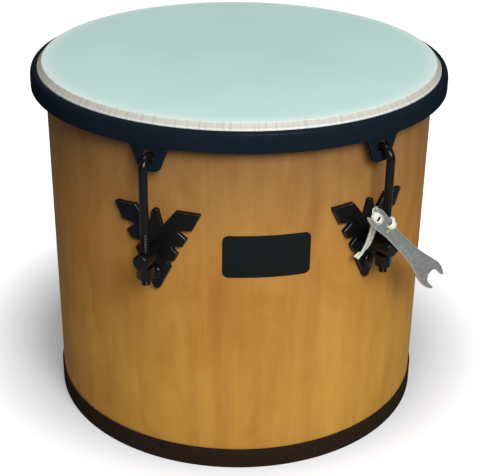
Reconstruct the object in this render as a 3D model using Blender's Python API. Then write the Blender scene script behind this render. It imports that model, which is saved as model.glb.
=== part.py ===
"""Hand repique: a single-headed samba drum, tensioned by hook rods, with its spanner tied to a rod.

Metres, +Z up. The drum stands on its open end with its axis on Z and its floor at z = 0.
The badge faces -Y. An azimuth is measured from -Y and grows towards +X.
"""
import math

import bmesh
import bpy
from mathutils import Matrix, Vector

# Fits
GAP = 0.0003                  # between pieces that touch or nest
THREAD_CLEARANCE = 0.0004     # round a rod or a shank, on the radius
SIDES = 72                    # flats round the drum, one of them under each lug
SHARP_ANGLE = 32              # degrees, an edge with a smaller bend is shaded smooth

# Drum body
DRUM_HEIGHT = 0.2875          # floor to playing surface
SHELL_RADIUS = 0.1525
SHELL_WALL = 0.0065
EDGE_ROUND = 0.0025           # outer round of the bearing edge
EDGE_LAND = 0.0006            # narrow crest that the head bears on

# Head and its hoop
FILM = 0.0005
HEAD_OVERHANG = 0.0023        # flat of the head beyond the shell
HEAD_CREASE = 0.0004          # half of the soft bend at the collar's edges
COLLAR_SPREAD = 0.0036
COLLAR_DROP = 0.0043
SKIRT_DEPTH = 0.0070          # from the collar's foot to the edge in the hoop
HOOP_DROP = 0.0035            # from the collar's foot to the hoop's top
HOOP_HEIGHT = 0.0065
HOOP_WALL = 0.0022

# Rim and its ears
RIM_WALL = 0.0027
RIM_HEIGHT = 0.0147
RIM_FLANGE = 0.0030           # part that presses on the hoop
RIM_SHOULDER = 0.0070         # height of the rolled shoulder
RIM_CROWN = 0.3               # flat top's share of the rim's width
RIM_FIT = 0.0004              # between the hoop and the rim's wall
EAR_REACH = 0.0183            # rim's lower edge to the bottom of the ear
EAR_RADIUS = 0.0112
EAR_ROOT = 0.0150             # half of the ear's width at the rim
EAR_HOLE_DROP = 0.0070
EAR_HOLE_RADIUS = 0.0050
EAR_SINK = 0.0002             # ear's faces below the wall's faces
EAR_LAP = 0.0020              # ear's overlap with the wall before they are joined

# Lugs
LUG_AZIMUTHS = (-30, 30, 150, -150)
POST_HEIGHT = 0.1870          # axis of the post above the floor
POST_RADIUS = 0.0060
POST_LENGTH = 0.0250
POST_ROUND = 0.0018
PLATE_THICKNESS = 0.0035
PLATE_CHAMFER = 0.0006
SCREW_DROP = 0.0180           # plate screw below the post
# Half of the plate's outline in mm, across and up from the post's axis, spike first
PLATE_HALF = (
    (0.0, 31.7), (1.3, 31.2), (2.1, 29.8), (5.1, 18.9), (15.5, 32.0), (33.6, 31.0),
    (27.0, 17.8), (16.0, 16.7), (23.5, 10.5), (19.8, 4.5), (11.4, 3.7), (16.6, -2.0),
    (13.7, -7.7), (8.7, -9.3), (11.2, -13.5), (1.9, -30.7), (1.2, -32.1), (0.0, -32.6))

# Tension rods and nuts
ROD_RADIUS = 0.003175         # quarter-inch rod
ROD_STAND = 0.0160            # rod's axis in front of the plate
ROD_TIP_SPACE = 0.0011        # between the shell and the hook's tip
ROD_TIP = 0.0045              # straight end after the bend
ROD_TAIL = 0.0052             # rod below its nut
ROD_SIDES = 12
NUT_ACROSS_FLATS = 0.0111     # seven-sixteenths of an inch
NUT_HEIGHT = 0.0090
NUT_FACE = 0.98               # round end face's share of the width across flats
NUT_CONE = 1.02               # chamfering cone's reach beyond the corners

# Fasteners inside and on the shell
SHANK_END = 0.0015            # shank beyond its inner nut
POST_WASHER = (0.0070, 0.0012)          # radius, thickness
POST_NUT = (0.0100, 0.0050)             # across flats, height
SCREW_HEAD = (0.0052, 0.0035)           # radius, height
SCREW_SHANK = 0.0024
HEAD_SIDE = 0.25              # straight side's share of a screw head's height
HEAD_DOME = (0, 50)           # angles of the dome's corners in degrees
SCREW_WASHER = (0.0055, 0.0010)
SCREW_NUT = (0.0080, 0.0040)

# Bottom ring
RING_WALL = 0.0010
RING_HEIGHT = 0.0175
RING_FOOT = 0.0068            # how far the foot turns in under the shell
RING_SCREW_AZIMUTHS = (-30, 90, -150)
RING_SCREW_HEIGHT = 0.0118
RING_SCREW_HEAD = (0.0030, 0.0016)
RING_SCREW_SHANK = 0.0014
RING_SCREW_LENGTH = 0.0050    # in the shell

# Badge
BADGE_WIDTH = 0.0640
BADGE_HEIGHT = 0.0331
BADGE_CENTRE = 0.18525
BADGE_CORNER = 0.0045
BADGE_THICKNESS = 0.0006

# Tuning key, measured along its length from the tie hole
KEY_AZIMUTH = 30
KEY_THICKNESS = 0.0025
KEY_STAND = 0.0007            # between the post's end and the key
KEY_TILT = 46.1               # degrees below level, large end down
KEY_HOLE = 0.0026
KEY_EDGE = 0.0004
KEY_EDGE_ANGLE = 60           # degrees, only an edge with a larger bend is rounded
KEY_JAW_FIT = 0.0001          # on each side of a tension nut
KEY_LARGE_JAW = (0.0748, -0.0005)       # centre of the jaw's rounded bottom, along and across
KEY_SMALL_JAW = (-0.0139, 0)
KEY_SMALL_MOUTH = 0.0035      # half of the small jaw's width
KEY_SMALL_TIP = -0.0226       # where each jaw's straight walls end
KEY_LARGE_TIP = 0.0824
# Key's two long edges in mm, along and across, small end first
KEY_UPPER_EDGE = (
    (-24.3, 4.0), (-22.2, 5.3), (-17.0, 6.6), (-12.0, 6.7), (-5.0, 5.8), (4.0, 5.0),
    (20.0, 4.9), (35.0, 5.5), (48.0, 6.9), (58.0, 8.5), (66.0, 9.9), (72.0, 10.4),
    (77.0, 9.9), (81.0, 8.5), (83.8, 6.9), (84.0, 5.8))
KEY_LOWER_EDGE = (
    (-24.6, -4.7), (-20.5, -6.1), (-15.0, -6.6), (-10.0, -6.4), (-5.0, -5.8), (4.0, -5.1),
    (20.0, -5.2), (35.0, -5.8), (47.0, -6.9), (57.0, -8.7), (65.0, -10.1), (71.0, -10.6),
    (76.0, -10.0), (80.0, -8.8), (82.8, -7.4))

# Tie that holds the key to the rod, and its head in the key's small jaw
LOOP_HEIGHT = 0.2120          # middle of the tie's loop round the rod
TIE_RADIUS = 0.00125
TIE_STEP = 0.0033             # spacing of the points read from the smooth route
TIE_HOLE_PLACE = (-0.0100, -0.0041)     # key's hole, across and up from the loop
TIE_HEAD_PLACE = (-0.0166, 0)           # along and across the key, from its hole
TIE_HEAD_SIZE = (0.0092, 0.0064, 0.0032)
TIE_HEAD_CORNER = 0.0026
TIE_HEAD_EDGE = 0.0008
TIE_HEAD_PROUD = 0.0006       # head's face in front of the key's
TIE_SLOT_SIZE = (0.0014, 0.0030, 0.0018)
TIE_SLOT_PLACE = 0.0020       # along the key from the head's middle
TIE_SLOT_CORNER = 0.00035
# Route in mm from the rod's axis at the loop: across, outward, up
TIE_ROUTE = (
    (-4.5, 6.7, -8.0), (-7.9, 7.0, -5.2), (-9.3, 9.3, -3.5), (-9.3, 12.4, -3.4),
    (-8.1, 14.2, -2.3), (-6.5, 14.6, -0.7), (-4.9, 13.0, 0.8), (-4.6, 10.5, 1.1),
    (-2.6, 7.8, -0.5), (1.0, 6.2, -2.8), (4.5, 3.2, -4.6), (5.3, -0.8, -5.0),
    (3.2, -5.2, -4.8), (0.0, -6.5, -4.2), (-3.6, -5.3, -3.2), (-6.0, -2.0, -1.4),
    (-9.0, 2.6, 2.4), (-15.0, 6.5, 9.0), (-19.0, 7.5, 11.5), (-19.2, 8.1, 8.0),
    (-18.0, 7.5, 3.0), (-17.0, 5.0, -1.5), (-16.1, 3.5, -4.7), (-14.0, -1.0, -14.6),
    (-12.7, -5.5, -23.8), (-13.2, -8.5, -29.0), (-15.2, -10.5, -32.3), (-16.6, -11.5, -34.4))

MM = 0.001
HALF_FLAT = math.pi / SIDES
OUTWARD = Matrix.Rotation(math.pi / 2, 4, 'X')       # turns +Z to -Y, out of the shell

# Heights that follow from the head down
FILM_UNDER = DRUM_HEIGHT - FILM
SHELL_TOP = FILM_UNDER - GAP
SHELL_BOTTOM = RING_WALL + GAP
COLLAR_FOOT = DRUM_HEIGHT - COLLAR_DROP
HOOP_TOP = COLLAR_FOOT - HOOP_DROP
RIM_TOP = HOOP_TOP + GAP + RIM_FLANGE
RIM_BOTTOM = RIM_TOP - RIM_HEIGHT
EAR_HOLE_HEIGHT = RIM_BOTTOM - EAR_HOLE_DROP
NUT_TOP = POST_HEIGHT - POST_RADIUS - GAP
ROD_BOTTOM = NUT_TOP - NUT_HEIGHT - ROD_TAIL
SCREW_HEIGHT = POST_HEIGHT - SCREW_DROP

# Radii that follow from the shell out
SHELL_INSIDE = SHELL_RADIUS - SHELL_WALL
HEAD_FLAT = SHELL_RADIUS + HEAD_OVERHANG
FILM_RADIUS = HEAD_FLAT + COLLAR_SPREAD
HOOP_RADIUS = FILM_RADIUS + GAP + HOOP_WALL
RIM_INSIDE = HOOP_RADIUS + RIM_FIT
RIM_RADIUS = RIM_INSIDE + RIM_WALL


def flat(radius):
    """Distance from the axis to the middle of a flat, where radius is to its corners."""
    return radius * math.cos(HALF_FLAT)


PLATE_BACK = flat(SHELL_RADIUS) + GAP
PLATE_FRONT = PLATE_BACK + PLATE_THICKNESS
INNER_FACE = flat(SHELL_INSIDE) - GAP
POST_END = PLATE_FRONT + GAP + POST_LENGTH
ROD_PLACE = PLATE_FRONT + ROD_STAND + GAP
ROD_TIP_PLACE = flat(SHELL_RADIUS) + ROD_TIP_SPACE + ROD_RADIUS
BEND_RADIUS = (ROD_PLACE - ROD_TIP_PLACE) / 2
KEY_BACK = POST_END + KEY_STAND


def clear_scene():
    for item in list(bpy.data.objects):
        bpy.data.objects.remove(item, do_unlink=True)


def material(name, colour, roughness, metallic=0.0):
    made = bpy.data.materials.new(name)
    made.use_nodes = True
    surface = made.node_tree.nodes['Principled BSDF']
    surface.inputs['Base Color'].default_value = (*colour, 1.0)
    surface.inputs['Roughness'].default_value = roughness
    surface.inputs['Metallic'].default_value = metallic
    made.diffuse_color = (*colour, 1.0)
    return made


def add_empty(name, place, azimuth=0):
    empty = bpy.data.objects.new(name, None)
    bpy.context.scene.collection.objects.link(empty)
    empty.location = place
    empty.rotation_euler.z = math.radians(azimuth)
    return empty


def add_piece(name, data, surface, place=(0, 0, 0), azimuth=0, parent=None):
    """Link one named sub-part, smooth on its rounds and sharp on its corners."""
    if not data.materials:
        data.materials.append(surface)
    if isinstance(data, bpy.types.Mesh):
        data.shade_smooth()
        data.set_sharp_from_angle(angle=math.radians(SHARP_ANGLE))
    piece = bpy.data.objects.new(name, data)
    bpy.context.scene.collection.objects.link(piece)
    piece.parent = parent
    piece.location = place
    piece.rotation_euler.z = math.radians(azimuth)
    return piece


def add_copies(name, data, surface, azimuths):
    """Link a piece made at azimuth 0 once at each azimuth, as name_1, name_2 and so on."""
    for number, azimuth in enumerate(azimuths, 1):
        add_piece(f'{name}_{number}', data, surface, azimuth=azimuth)


def finished(bm):
    """Turn a bmesh into a mesh with its faces outward."""
    bmesh.ops.recalc_face_normals(bm, faces=bm.faces)
    mesh = bpy.data.meshes.new('form')
    bm.to_mesh(mesh)
    bm.free()
    return mesh


def turned(profile, sides):
    """Spin a (radius, height) profile round Z. One that starts on the axis also ends there."""
    bm = bmesh.new()
    start = math.pi / sides
    corners = [bm.verts.new((r * math.sin(start), -r * math.cos(start), z)) for r, z in profile]
    first = 1 if profile[0][0] == 0 else 0
    lines = [bm.edges.new((corners[i - 1], corners[i])) for i in range(first, len(corners))]
    bmesh.ops.spin(bm, geom=corners + lines, cent=(0, 0, 0), axis=(0, 0, 1),
                   angle=2 * math.pi, steps=sides, use_merge=True)
    bmesh.ops.remove_doubles(bm, verts=bm.verts, dist=1e-6)
    return finished(bm)


def cylinder(radius, bottom, top, sides=16):
    return turned([(0, bottom), (radius, bottom), (radius, top), (0, top)], sides)


def drill(radius, near, far, height, sides=16):
    """Round cutter that points out of the shell between two distances from the drum's axis."""
    bit = cylinder(radius, near, far, sides)
    bit.transform(Matrix.Translation((0, 0, height)) @ OUTWARD)
    return bit


def carved(mesh, cutter, operation='DIFFERENCE'):
    """Combine two closed meshes by one exact Boolean."""
    blank = bpy.data.objects.new('blank', mesh)
    tool = bpy.data.objects.new('tool', cutter)
    for item in (blank, tool):
        bpy.context.scene.collection.objects.link(item)
    boolean = blank.modifiers.new('boolean', 'BOOLEAN')
    boolean.operation = operation
    boolean.solver = 'EXACT'
    boolean.object = tool
    graph = bpy.context.evaluated_depsgraph_get()
    result = bpy.data.meshes.new_from_object(blank.evaluated_get(graph))
    for item in (blank, tool):
        bpy.data.objects.remove(item, do_unlink=True)
    return result


def joined(meshes):
    """Put separate bodies into one mesh."""
    bm = bmesh.new()
    for mesh in meshes:
        bm.from_mesh(mesh)
    return finished(bm)


def at_azimuths(mesh, azimuths):
    """Repeat a cutter or a blank made at azimuth 0 round the drum's axis, as one mesh."""
    copies = []
    for azimuth in azimuths:
        copy = mesh.copy()
        copy.transform(Matrix.Rotation(math.radians(azimuth), 4, 'Z'))
        copies.append(copy)
    return joined(copies)


def arc(across, up, radius, start, end, steps):
    """Points on a round stretch of an outline, from one angle to another in degrees."""
    angles = [math.radians(start + (end - start) * i / steps) for i in range(steps + 1)]
    return [(across + radius * math.cos(a), up + radius * math.sin(a)) for a in angles]


def mirrored(half):
    """Close an outline whose first and last points lie on, or face each other across, x = 0."""
    return list(half) + [(-x, z) for x, z in reversed(half) if x != 0]


def slab(outline, thickness, chamfer=0.0):
    """Plate with its outline in the XZ plane, its back at y = 0 and its front towards -Y."""
    bm = bmesh.new()
    back = bm.faces.new([bm.verts.new((x, 0, z)) for x, z in outline])
    grown = bmesh.ops.extrude_face_region(bm, geom=[back], use_keep_orig=True)
    front = [item for item in grown['geom'] if isinstance(item, bmesh.types.BMVert)]
    bmesh.ops.translate(bm, verts=front, vec=(0, -thickness, 0))
    if chamfer:
        edges = [e for e in bm.edges if all(v.co.y < -thickness / 2 for v in e.verts)]
        bmesh.ops.bevel(bm, geom=edges, offset=chamfer, offset_type='OFFSET', segments=1,
                        profile=0.5, affect='EDGES', clamp_overlap=True)
    return finished(bm)


def block(size, thickness, corner, chamfer=0.0):
    """Slab with rounded corners, centred on its length and width."""
    along, across = size[0] / 2 - corner, size[1] / 2 - corner
    half = arc(along, -across, corner, -90, 0, 3) + arc(along, across, corner, 0, 90, 3)
    return slab(mirrored(half), thickness, chamfer)


def wrapped(mesh, distance):
    """Bend a slab over the drum's flats, with its back at this distance from the axis."""
    bm = bmesh.new()
    bm.from_mesh(mesh)
    width = 2 * distance * math.tan(HALF_FLAT)
    reach = max(abs(v.co.x) for v in bm.verts)
    for line in range(int(reach / width + 0.5)):
        for side in (-1, 1):
            bmesh.ops.bisect_plane(bm, geom=bm.verts[:] + bm.edges[:] + bm.faces[:], dist=1e-7,
                                   plane_co=(side * (line + 0.5) * width, 0, 0), plane_no=(1, 0, 0))
    for vert in bm.verts:
        number = round(vert.co.x / width)
        out = distance - vert.co.y
        across = (vert.co.x - number * width) * out / distance
        turn = 2 * HALF_FLAT * number
        vert.co.x = out * math.sin(turn) + across * math.cos(turn)
        vert.co.y = -out * math.cos(turn) + across * math.sin(turn)
    return finished(bm)


def hexagon(across_flats, height, bore, chamfered=False):
    """Nut with its lower face at z = 0."""
    corner = across_flats / 2 / math.cos(math.pi / 6)
    nut = cylinder(corner, 0, height, 6)
    if chamfered:
        slope = (corner - across_flats / 2) * math.tan(math.pi / 6)
        outside = corner * NUT_CONE
        face = across_flats / 2 * NUT_FACE
        nut = carved(nut, turned([(0, 0), (face, 0), (outside, slope), (outside, height - slope),
                                  (face, height), (0, height)], 18), 'INTERSECT')
    return carved(nut, cylinder(bore, -height, 2 * height, ROD_SIDES))


def washer(radius, thickness, bore):
    return turned([(bore, 0), (radius, 0), (radius, thickness), (bore, thickness)], 16)


def dome_screw(head, shank, length):
    """Screw with its head's seat at z = 0, the shank below and the dome above."""
    radius, height = head
    side = height * HEAD_SIDE
    dome = [(radius * math.cos(a), side + (height - side) * math.sin(a))
            for a in (math.radians(angle) for angle in HEAD_DOME)]
    return turned([(0, -length), (shank, -length), (shank, 0), (radius, 0), *dome, (0, height)], 12)


def make_shell(wood):
    inner_drop = SHELL_WALL - EDGE_ROUND - EDGE_LAND
    outer = [(SHELL_RADIUS - EDGE_ROUND + x, SHELL_TOP - EDGE_ROUND + z)
             for x, z in arc(0, 0, EDGE_ROUND, 0, 90, 2)]
    profile = [(SHELL_RADIUS, SHELL_BOTTOM), *outer,
               (SHELL_RADIUS - EDGE_ROUND - EDGE_LAND, SHELL_TOP),
               (SHELL_INSIDE, SHELL_TOP - inner_drop), (SHELL_INSIDE, SHELL_BOTTOM)]
    inside = SHELL_INSIDE - SHELL_WALL
    outside = SHELL_RADIUS + SHELL_WALL
    holes = [drill(ROD_RADIUS + THREAD_CLEARANCE, inside, outside, POST_HEIGHT),
             drill(SCREW_SHANK + THREAD_CLEARANCE, inside, outside, SCREW_HEIGHT)]
    pilot_floor = flat(SHELL_RADIUS) - RING_SCREW_LENGTH - GAP
    pilot = drill(RING_SCREW_SHANK + GAP, pilot_floor, outside, RING_SCREW_HEIGHT, 10)
    cutter = joined([at_azimuths(joined(holes), LUG_AZIMUTHS),
                     at_azimuths(pilot, RING_SCREW_AZIMUTHS)])
    add_piece('shell', carved(turned(profile, SIDES), cutter), wood)


def make_head(white):
    """One sheet: flat, then a sloping collar, then a skirt that stands in the hoop's slot."""
    skirt_end = COLLAR_FOOT - SKIRT_DEPTH
    crease = HEAD_CREASE
    upper = [(0, DRUM_HEIGHT), (HEAD_FLAT - crease, DRUM_HEIGHT),
             (HEAD_FLAT + crease / 2, DRUM_HEIGHT - crease),
             (FILM_RADIUS - crease / 3, COLLAR_FOOT + crease),
             (FILM_RADIUS, COLLAR_FOOT - crease), (FILM_RADIUS, skirt_end)]
    lower = [(FILM_RADIUS - FILM, skirt_end), (FILM_RADIUS - FILM, COLLAR_FOOT - crease),
             (HEAD_FLAT - crease, FILM_UNDER), (0, FILM_UNDER)]
    add_piece('head_film', turned(upper + lower, SIDES), white)


def make_hoop(metal):
    """Channel with its slot upward."""
    bottom = HOOP_TOP - HOOP_HEIGHT
    slot_in = FILM_RADIUS - FILM - GAP
    slot_out = FILM_RADIUS + GAP
    floor = COLLAR_FOOT - SKIRT_DEPTH - GAP
    profile = [(slot_in - HOOP_WALL, bottom), (HOOP_RADIUS, bottom), (HOOP_RADIUS, HOOP_TOP),
               (slot_out, HOOP_TOP), (slot_out, floor), (slot_in, floor), (slot_in, HOOP_TOP),
               (slot_in - HOOP_WALL, HOOP_TOP)]
    add_piece('flesh_hoop', turned(profile, SIDES), metal)


def ear():
    """Pierced tab that hangs from the rim, bent to the rim's flats."""
    centre = -EAR_REACH + EAR_RADIUS
    corner_angle = math.degrees(math.atan2(-centre, EAR_ROOT))
    swing = math.degrees(math.acos(EAR_RADIUS / math.hypot(EAR_ROOT, centre)))
    start = corner_angle - swing
    outline = [(-EAR_ROOT, EAR_LAP), (-EAR_ROOT, 0)]
    outline += arc(0, centre, EAR_RADIUS, -180 - start, start, 8)
    outline += [(EAR_ROOT, 0), (EAR_ROOT, EAR_LAP)]
    thickness = flat(RIM_RADIUS) - flat(RIM_INSIDE) - 2 * EAR_SINK
    tab = slab(outline, thickness)
    tab = carved(tab, drill(EAR_HOLE_RADIUS, -EAR_RADIUS, EAR_RADIUS, -EAR_HOLE_DROP, 16))
    tab.transform(Matrix.Translation((0, 0, RIM_BOTTOM)))
    return wrapped(tab, flat(RIM_INSIDE) + EAR_SINK)


def make_rim(black, carrier):
    """Rolled hoop: a wall, a rounded shoulder and a flange that presses on the flesh hoop."""
    opening = FILM_RADIUS + GAP
    crown = opening + (RIM_RADIUS - opening) * RIM_CROWN
    shoulder = [(crown + (RIM_RADIUS - crown) * x, RIM_TOP - RIM_SHOULDER * (1 - z))
                for x, z in arc(0, 0, 1, 0, 90, 4)]
    profile = [(RIM_RADIUS, RIM_BOTTOM), *shoulder, (opening, RIM_TOP),
               (opening, HOOP_TOP + GAP), (RIM_INSIDE, HOOP_TOP + GAP), (RIM_INSIDE, RIM_BOTTOM)]
    rim = carved(turned(profile, SIDES), at_azimuths(ear(), LUG_AZIMUTHS), 'UNION')
    add_piece('rim', rim, black, parent=carrier)


def rod_curve():
    """J-shaped rod at azimuth 0: up through the post, over the ear's web and down behind it."""
    ear_back = flat(RIM_INSIDE) + EAR_SINK
    middle = ROD_PLACE - BEND_RADIUS
    inner = BEND_RADIUS - ROD_RADIUS
    web_top = EAR_HOLE_HEIGHT - EAR_HOLE_RADIUS + GAP
    centre = web_top - math.sqrt(inner ** 2 - (middle - ear_back) ** 2)
    bend = [(middle + x, centre + z) for x, z in arc(0, 0, BEND_RADIUS, 0, 180, 8)]
    stops = [(ROD_PLACE, ROD_BOTTOM), *bend, (ROD_TIP_PLACE, centre - ROD_TIP)]
    curve = bpy.data.curves.new('rod', 'CURVE')
    curve.dimensions = '3D'
    curve.bevel_depth = ROD_RADIUS
    curve.bevel_resolution = 4
    curve.use_fill_caps = True
    line = curve.splines.new('POLY')
    line.points.add(len(stops) - 1)
    for point, (out, height) in zip(line.points, stops):
        point.co = (0, -out, height, 1)
    return curve


def make_lugs(black, rim_carrier):
    """Plates, posts, hook rods and tension nuts at each lug."""
    plate = slab([(x * MM, z * MM) for x, z in mirrored(PLATE_HALF)], PLATE_THICKNESS,
                 PLATE_CHAMFER)
    bores = [drill(ROD_RADIUS + THREAD_CLEARANCE, -SHELL_WALL, SHELL_WALL, 0),
             drill(SCREW_SHANK + THREAD_CLEARANCE, -SHELL_WALL, SHELL_WALL, -SCREW_DROP)]
    plate = wrapped(carved(plate, joined(bores)), PLATE_BACK)

    inner_end = INNER_FACE - POST_WASHER[1] - POST_NUT[1] - 2 * GAP - SHANK_END
    seat = PLATE_FRONT + GAP
    rounded = [(POST_RADIUS - POST_ROUND + x, POST_END - POST_ROUND + z)
               for x, z in arc(0, 0, POST_ROUND, 0, 90, 2)]
    post = turned([(0, inner_end), (ROD_RADIUS, inner_end), (ROD_RADIUS, seat),
                   (POST_RADIUS, seat), *rounded, (0, POST_END)], 16)
    post.transform(OUTWARD)
    cross_hole = cylinder(ROD_RADIUS + THREAD_CLEARANCE, -2 * POST_RADIUS, 2 * POST_RADIUS,
                          ROD_SIDES)
    cross_hole.transform(Matrix.Translation((0, -ROD_PLACE, 0)))
    post = carved(post, cross_hole)

    rod = rod_curve()
    nut = hexagon(NUT_ACROSS_FLATS, NUT_HEIGHT, ROD_RADIUS + THREAD_CLEARANCE, chamfered=True)
    for number, azimuth in enumerate(LUG_AZIMUTHS, 1):
        turn = math.radians(azimuth)
        add_piece(f'lug_plate_{number}', plate, black, (0, 0, POST_HEIGHT), azimuth)
        add_piece(f'lug_post_{number}', post, black, (0, 0, POST_HEIGHT), azimuth)
        add_piece(f'hook_rod_{number}', rod, black, (0, 0, 0), azimuth, rim_carrier)
        on_rod = (ROD_PLACE * math.sin(turn), -ROD_PLACE * math.cos(turn), NUT_TOP - NUT_HEIGHT)
        add_piece(f'tension_nut_{number}', nut, black, on_rod, azimuth)


def make_fasteners(black, zinc):
    """Dome screws through the plates, and the washers and nuts inside the shell."""
    shank_length = PLATE_FRONT + GAP - INNER_FACE + SCREW_WASHER[1] + SCREW_NUT[1] + 3 * GAP
    screw = dome_screw(SCREW_HEAD, SCREW_SHANK, shank_length + SHANK_END)
    screw.transform(Matrix.Translation((0, -PLATE_FRONT - GAP, SCREW_HEIGHT)) @ OUTWARD)
    add_copies('plate_screw', screw, black, LUG_AZIMUTHS)

    stacks = (('post', POST_WASHER, POST_NUT, ROD_RADIUS, POST_HEIGHT),
              ('screw', SCREW_WASHER, SCREW_NUT, SCREW_SHANK, SCREW_HEIGHT))
    for name, (radius, thickness), (across_flats, height), shank, level in stacks:
        ring = washer(radius, thickness, shank + THREAD_CLEARANCE)
        ring_place = INNER_FACE - thickness
        ring.transform(Matrix.Translation((0, -ring_place, level)) @ OUTWARD)
        add_copies(f'{name}_washer', ring, zinc, LUG_AZIMUTHS)
        nut = hexagon(across_flats, height, shank + THREAD_CLEARANCE)
        nut_place = ring_place - GAP - height
        nut.transform(Matrix.Translation((0, -nut_place, level)) @ OUTWARD)
        add_copies(f'{name}_nut', nut, zinc, LUG_AZIMUTHS)


def make_bottom_ring(brown, black):
    """Edge hoop with its foot turned in, and the screws that hold it."""
    inside = SHELL_RADIUS + GAP
    outside = inside + RING_WALL
    foot = inside - RING_FOOT
    profile = [(foot, 0), (outside - RING_WALL / 2, 0), (outside, RING_WALL / 2),
               (outside, RING_HEIGHT), (inside, RING_HEIGHT), (inside, RING_WALL),
               (foot, RING_WALL)]
    hole = drill(RING_SCREW_SHANK + GAP, SHELL_RADIUS - GAP, SHELL_RADIUS + 4 * RING_WALL,
                 RING_SCREW_HEIGHT, 10)
    ring = carved(turned(profile, SIDES), at_azimuths(hole, RING_SCREW_AZIMUTHS))
    add_piece('bottom_ring', ring, brown)
    seat = flat(outside) + GAP
    screw = dome_screw(RING_SCREW_HEAD, RING_SCREW_SHANK,
                       seat - flat(SHELL_RADIUS) + RING_SCREW_LENGTH)
    screw.transform(Matrix.Translation((0, -seat, RING_SCREW_HEIGHT)) @ OUTWARD)
    add_copies('ring_screw', screw, black, RING_SCREW_AZIMUTHS)


def make_badge(black):
    badge = wrapped(block((BADGE_WIDTH, BADGE_HEIGHT), BADGE_THICKNESS, BADGE_CORNER), PLATE_BACK)
    add_piece('badge', badge, black, (0, 0, BADGE_CENTRE))


def make_key(zinc, carrier):
    """Flat double open-ended spanner; its large jaw fits the tension nuts."""
    large = NUT_ACROSS_FLATS / 2 + KEY_JAW_FIT
    small = KEY_SMALL_MOUTH
    middle = KEY_LARGE_JAW[1]
    outline = arc(*KEY_SMALL_JAW, small, -90, 90, 10) + [(KEY_SMALL_TIP, small)]
    outline += [(x * MM, y * MM) for x, y in KEY_UPPER_EDGE] + [(KEY_LARGE_TIP, middle + large)]
    outline += arc(*KEY_LARGE_JAW, large, 90, 270, 12) + [(KEY_LARGE_TIP, middle - large)]
    outline += [(x * MM, y * MM) for x, y in reversed(KEY_LOWER_EDGE)] + [(KEY_SMALL_TIP, -small)]
    key = slab(outline, KEY_THICKNESS)
    key = carved(key, drill(KEY_HOLE, -2 * KEY_THICKNESS, 2 * KEY_THICKNESS, 0, 14))
    across, up = TIE_HOLE_PLACE
    piece = add_piece('tuning_key', key, zinc, (across, -(KEY_BACK - ROD_PLACE), up),
                      parent=carrier)
    piece.rotation_euler.y = math.radians(KEY_TILT)
    edge = piece.modifiers.new('rounded_edges', 'BEVEL')
    edge.width = KEY_EDGE
    edge.segments = 1
    edge.limit_method = 'ANGLE'
    edge.angle_limit = math.radians(KEY_EDGE_ANGLE)


def smooth_route(route, step):
    """Evenly spaced points on the Catmull-Rom curve through a route's points."""
    ends = [route[0] * 2 - route[1], *route, route[-1] * 2 - route[-2]]
    fine = []
    for before, start, end, after in zip(ends, ends[1:], ends[2:], ends[3:]):
        for i in range(24):
            t = i / 24
            pull = (end - before) * t + (before * 2 - start * 5 + end * 4 - after) * t ** 2
            fine.append(start + (pull + (start * 3 - before - end * 3 + after) * t ** 3) / 2)
    fine.append(route[-1])
    run = [0.0]
    for start, end in zip(fine, fine[1:]):
        run.append(run[-1] + (end - start).length)
    count = round(run[-1] / step)
    points = []
    place = 0
    for i in range(count + 1):
        goal = run[-1] * i / count
        while run[place + 1] < goal and place < len(fine) - 2:
            place += 1
        share = (goal - run[place]) / (run[place + 1] - run[place])
        points.append(fine[place].lerp(fine[place + 1], share))
    return points


def make_tie(white, carrier):
    """Plastic tie: through the key's hole, round the rod and down, with a free tail."""
    route = [Vector((across, -outward, up)) * MM for across, outward, up in TIE_ROUTE]
    points = smooth_route(route, TIE_STEP)
    curve = bpy.data.curves.new('tie', 'CURVE')
    curve.dimensions = '3D'
    curve.bevel_depth = TIE_RADIUS
    curve.bevel_resolution = 2
    curve.use_fill_caps = True
    line = curve.splines.new('POLY')
    line.points.add(len(points) - 1)
    for point, place in zip(line.points, points):
        point.co = (*place, 1)
    add_piece('key_tie', curve, white, parent=carrier)

    head = block(TIE_HEAD_SIZE[:2], TIE_HEAD_SIZE[2], TIE_HEAD_CORNER, TIE_HEAD_EDGE)
    slot = block(TIE_SLOT_SIZE[:2], 2 * TIE_SLOT_SIZE[2], TIE_SLOT_CORNER)
    slot.transform(Matrix.Translation((TIE_SLOT_PLACE, TIE_SLOT_SIZE[2] - TIE_HEAD_SIZE[2], 0)))
    head = carved(head, slot)
    along, aside = TIE_HEAD_PLACE
    back = KEY_THICKNESS + TIE_HEAD_PROUD - TIE_HEAD_SIZE[2]
    head.transform(Matrix.Translation((along, -back, aside)))
    across, up = TIE_HOLE_PLACE
    piece = add_piece('tie_head', head, white, (across, -(KEY_BACK - ROD_PLACE), up),
                      parent=carrier)
    piece.rotation_euler.y = math.radians(KEY_TILT)


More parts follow.
